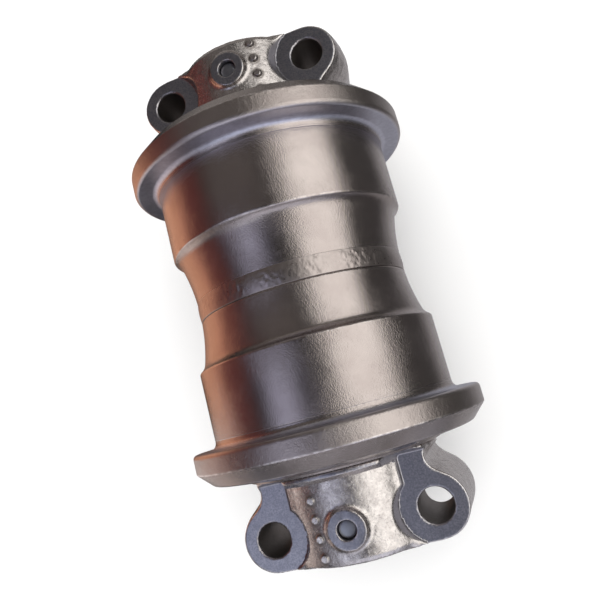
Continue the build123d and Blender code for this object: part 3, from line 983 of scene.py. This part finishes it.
CARD_R = 0.9
CARD_STEPS = 24
CARD_END_FADE = 0.12
END_CARD_HALF_W = 1.4
END_CARD_EDGE = 0.3
FLOOR_HALF_W = 6.0
WORLD_IN_REFLECTIONS = 0.03

# Each card: name, angles from and to in degrees, along from and to, colour, strength, edge fade.
CARDS = (
    ("key_card", 12, 81, -0.9, 0.9, (1.0, 1.0, 0.98), 2.05, 0.28),
    ("sky_card", -48, -4, -0.27, 0.17, (0.66, 0.70, 0.95), 1.05, 0.4),
    ("bridge_card", -8, 16, -0.32, -0.08, (0.85, 0.85, 1.0), 0.35, 0.3),
    ("low_sky_card", -50, 0, -0.8, -0.22, (0.78, 0.84, 1.0), 1.45, 0.48),
    ("low_glow_card", -90, 20, -0.85, -0.25, (0.8, 0.8, 0.95), 0.2, 0.3),
    ("far_sky_card", -75, 100, -2.2, -0.75, (0.84, 0.88, 1.04), 1.1, 0.2),
    ("copper_card", -134, -80, -0.15, 0.62, (1.0, 0.50, 0.31), 1.08, 0.25),
    ("outer_copper_card", -178, -112, 0.02, 0.6, (1.0, 0.58, 0.42), 0.28, 0.25),
    ("rim_card", -144, -78, -0.48, -0.06, (1.0, 0.97, 0.95), 0.48, 0.2),
    ("dusty_card", -143, -72, -0.9, -0.12, (1.0, 0.84, 0.79), 0.76, 0.25),
    ("red_card", -104, -48, -0.3, 0.9, (1.0, 0.24, 0.22), 0.2, 0.3),
    ("under_card", 95, 265, -2.2, -0.82, (0.86, 0.88, 1.0), 0.5, 0.15),
    ("pale_card", 118, 192, -0.9, 1.05, (0.98, 0.96, 1.0), 0.5, 0.3),
    ("grey_card", -60, 14, 0.2, 1.0, (1.0, 0.90, 0.86), 0.17, 0.3),
    ("dim_card", 84, 122, -0.9, 0.9, (1.0, 0.98, 1.0), 0.07, 0.3),
    ("far_plain_card", -179, 179, 1.1, 2.4, (1.0, 0.95, 0.92), 0.22, 0.02),
)

# Each end card: name, place along the axis, height from and to, colour, strength.
END_CARDS = (
    ("plug_end_card_high", -2.2, 0.0, 1.0, (0.86, 0.88, 1.0), 0.95),
    ("plug_end_card_low", -2.2, -1.0, 0.0, (0.95, 0.93, 0.95), 0.3),
    ("plain_end_card", 2.3, -1.2, 1.2, (1.0, 0.94, 0.90), 0.3),
)


def emitter(name, colour, strength, edge):
    """Card material: even light that fades out over a share of the card's width at its edges."""
    material = bpy.data.materials.new(name)
    material.use_nodes = True
    tree = material.node_tree
    tree.nodes.clear()
    uv = tree.nodes.new("ShaderNodeUVMap")
    split = tree.nodes.new("ShaderNodeSeparateXYZ")
    tree.links.new(uv.outputs["UV"], split.inputs[0])
    fade = None
    for axis, width in (("X", edge), ("Y", CARD_END_FADE)):
        for low, high in ((0.0, width), (1.0, 1.0 - width)):
            ramp = tree.nodes.new("ShaderNodeMapRange")
            ramp.interpolation_type = "SMOOTHSTEP"
            ramp.inputs["From Min"].default_value = low
            ramp.inputs["From Max"].default_value = high
            tree.links.new(split.outputs[axis], ramp.inputs["Value"])
            if fade is None:
                fade = ramp.outputs["Result"]
            else:
                fade = product(tree, fade, ramp.outputs["Result"])
    light = tree.nodes.new("ShaderNodeEmission")
    light.inputs["Color"].default_value = (*colour, 1)
    tree.links.new(product(tree, fade, strength), light.inputs["Strength"])
    clear = tree.nodes.new("ShaderNodeBsdfTransparent")
    both = tree.nodes.new("ShaderNodeAddShader")
    output = tree.nodes.new("ShaderNodeOutputMaterial")
    tree.links.new(light.outputs[0], both.inputs[0])
    tree.links.new(clear.outputs[0], both.inputs[1])
    tree.links.new(both.outputs[0], output.inputs["Surface"])
    return material


def product(tree, first, second):
    """Multiplies a socket by another socket or by a number."""
    times = tree.nodes.new("ShaderNodeMath")
    times.operation = "MULTIPLY"
    tree.links.new(first, times.inputs[0])
    if isinstance(second, bpy.types.NodeSocket):
        tree.links.new(second, times.inputs[1])
    else:
        times.inputs[1].default_value = second
    return times.outputs[0]


def show_only_in_reflections(piece):
    """Hides a card from the camera and from everything but glossy rays."""
    piece.visible_camera = False
    piece.visible_diffuse = False
    piece.visible_shadow = False
    piece.visible_transmission = False


def card(name, theta_from, theta_to, y_from, y_to, colour, strength, edge):
    """Curved reflector round the roller's axis. Angles go from +Z to +X."""
    verts = []
    for step in range(CARD_STEPS + 1):
        theta = math.radians(theta_from + (theta_to - theta_from) * step / CARD_STEPS)
        for along in (y_from, y_to):
            verts.append((CARD_R * math.sin(theta), along, CARD_R * math.cos(theta)))
    faces = [(2 * i, 2 * i + 1, 2 * i + 3, 2 * i + 2) for i in range(CARD_STEPS)]
    piece = new_object(name, verts, faces)
    layer = piece.data.uv_layers.new(name="card")
    for loop in piece.data.loops:
        step, side = divmod(loop.vertex_index, 2)
        layer.data[loop.index].uv = (step / CARD_STEPS, side)
    piece.data.materials.append(emitter(name, colour, strength, edge))
    show_only_in_reflections(piece)


def end_card(name, end_y, low, high, colour, strength):
    """Flat reflector beyond one end of the roller that closes the ring of curved cards."""
    half = END_CARD_HALF_W
    verts = [(-half, end_y, low), (half, end_y, low), (half, end_y, high), (-half, end_y, high)]
    piece = new_object(name, verts, [(0, 1, 2, 3)], smooth=False)
    layer = piece.data.uv_layers.new(name="card")
    for loop, corner in zip(piece.data.loops, ((0, 0), (1, 0), (1, 1), (0, 1))):
        layer.data[loop.index].uv = corner
    piece.data.materials.append(emitter(name, colour, strength, END_CARD_EDGE))
    show_only_in_reflections(piece)


def make_floor():
    """Pale seamless floor under the roller."""
    half = FLOOR_HALF_W
    corners = [(-half, -half), (half, -half), (half, half), (-half, half)]
    verts = [(x, y, FLOOR_Z) for x, y in corners]
    floor = new_object("floor", verts, [(0, 1, 2, 3)], smooth=False)
    n = Nodes("floor_card")
    n.drive(Base_Color=(0.98, 0.98, 0.98, 1), Roughness=0.9)
    floor.data.materials.append(n.material)
    floor.visible_glossy = False


def area_light(name, place, size, power, colour):
    """Rectangular light that points at the roller and isn't seen itself."""
    data = bpy.data.lights.new(name, "AREA")
    data.shape = "RECTANGLE"
    data.size, data.size_y = size
    data.energy = power
    data.color = colour
    light = bpy.data.objects.new(name, data)
    light.location = place
    light.rotation_euler = (-Vector(place)).to_track_quat("-Z", "Y").to_euler()
    light.visible_glossy = False
    light.visible_camera = False
    bpy.context.scene.collection.objects.link(light)


def make_world():
    """White surroundings that are nearly black in reflections, where the cards take over."""
    world = bpy.data.worlds.new("studio")
    world.use_nodes = True
    tree = world.node_tree
    background = tree.nodes["Background"]
    background.inputs["Color"].default_value = (1, 1, 1, 1)
    path = tree.nodes.new("ShaderNodeLightPath")
    strength = tree.nodes.new("ShaderNodeMapRange")
    strength.inputs["To Min"].default_value = 1.0
    strength.inputs["To Max"].default_value = WORLD_IN_REFLECTIONS
    tree.links.new(path.outputs["Is Glossy Ray"], strength.inputs["Value"])
    tree.links.new(strength.outputs["Result"], background.inputs["Strength"])
    bpy.context.scene.world = world


def make_camera():
    """Camera at the place, angle and lens of the photograph."""
    data = bpy.data.cameras.new("camera")
    data.lens = 36.443
    data.sensor_width = 36.0
    camera = bpy.data.objects.new("camera", data)
    right = (0.93357, -0.25157, -0.25526)
    up = (0.28657, 0.95171, 0.11015)
    back = (0.21523, -0.17598, 0.96058)
    camera.matrix_world = Matrix((right, up, back)).transposed().to_4x4()
    camera.location = (0.10984, -0.09820, 0.50497)
    bpy.context.scene.collection.objects.link(camera)
    bpy.context.scene.camera = camera


def make_studio():
    """Camera, surroundings, floor, one light and the reflector cards."""
    make_camera()
    make_world()
    make_floor()
    bpy.context.scene.view_settings.view_transform = "Standard"
    area_light("top_softbox", (0.3, 0.2, 1.4), (1.4, 1.4), 9.0, (1, 0.99, 0.97))
    for values in CARDS:
        card(*values)
    for values in END_CARDS:
        end_card(*values)


# ---------------------------------------------------------------- build

PIN_GREY = (0.30, 0.31, 0.34, 1)
PIN_GREY_DARK = (0.2, 0.2, 0.22, 1)
SHAFT_GREY = (0.5, 0.49, 0.48, 1)
SHAFT_GREY_DARK = (0.4, 0.39, 0.38, 1)
BRONZE = (0.62, 0.42, 0.2, 1)
BRONZE_DARK = (0.5, 0.32, 0.14, 1)
IRON_GREY = (0.42, 0.41, 0.4, 1)
IRON_GREY_DARK = (0.3, 0.3, 0.3, 1)
RUBBER_BLACK = (0.02, 0.02, 0.021, 1)
RUBBER_BLACK_DARK = (0.012, 0.012, 0.012, 1)


def dress(node, material):
    """Gives a kept CAD node its material."""
    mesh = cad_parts[node].data
    mesh.materials.clear()
    mesh.materials.append(material)


make_studio()
make_shells(satin_steel("roller_paint", 0.225, PEEL))
make_weld(weld_finish("weld_paint"))
make_collars(cast_finish("collar_casting"))
pin_steel = plain_grain("pin_steel", PIN_GREY, PIN_GREY_DARK, 0.38, 1.0, PLATED_GRAIN)
make_pins(pin_steel)
shaft_steel = plain_grain("shaft_steel", SHAFT_GREY, SHAFT_GREY_DARK, 0.25, 1.0, STEEL_GRAIN)
bronze = plain_grain("bronze", BRONZE, BRONZE_DARK, 0.3, 1.0, STEEL_GRAIN)
seal_iron = plain_grain("seal_iron", IRON_GREY, IRON_GREY_DARK, 0.3, 1.0, STEEL_GRAIN)
rubber = plain_grain("rubber", RUBBER_BLACK, RUBBER_BLACK_DARK, 0.6, 0.0, RUBBER_GRAIN)

FINISHES = {
    "shaft": shaft_steel,
    "oil_plug": pin_steel,
    "bushing_back": shaft_steel,
    "bushing_lining": bronze,
    "fixed_seal_ring": seal_iron,
    "turning_seal_ring": seal_iron,
    "fixed_toric": rubber,
    "turning_toric": rubber,
    "collar_oring": rubber,
    "oil_plug_oring": rubber,
}
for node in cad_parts:
    key = node.replace("_plain_end", "").replace("_plug_end", "")
    finish = FINISHES.get(key)
    if finish is not None:
        dress(node, finish)
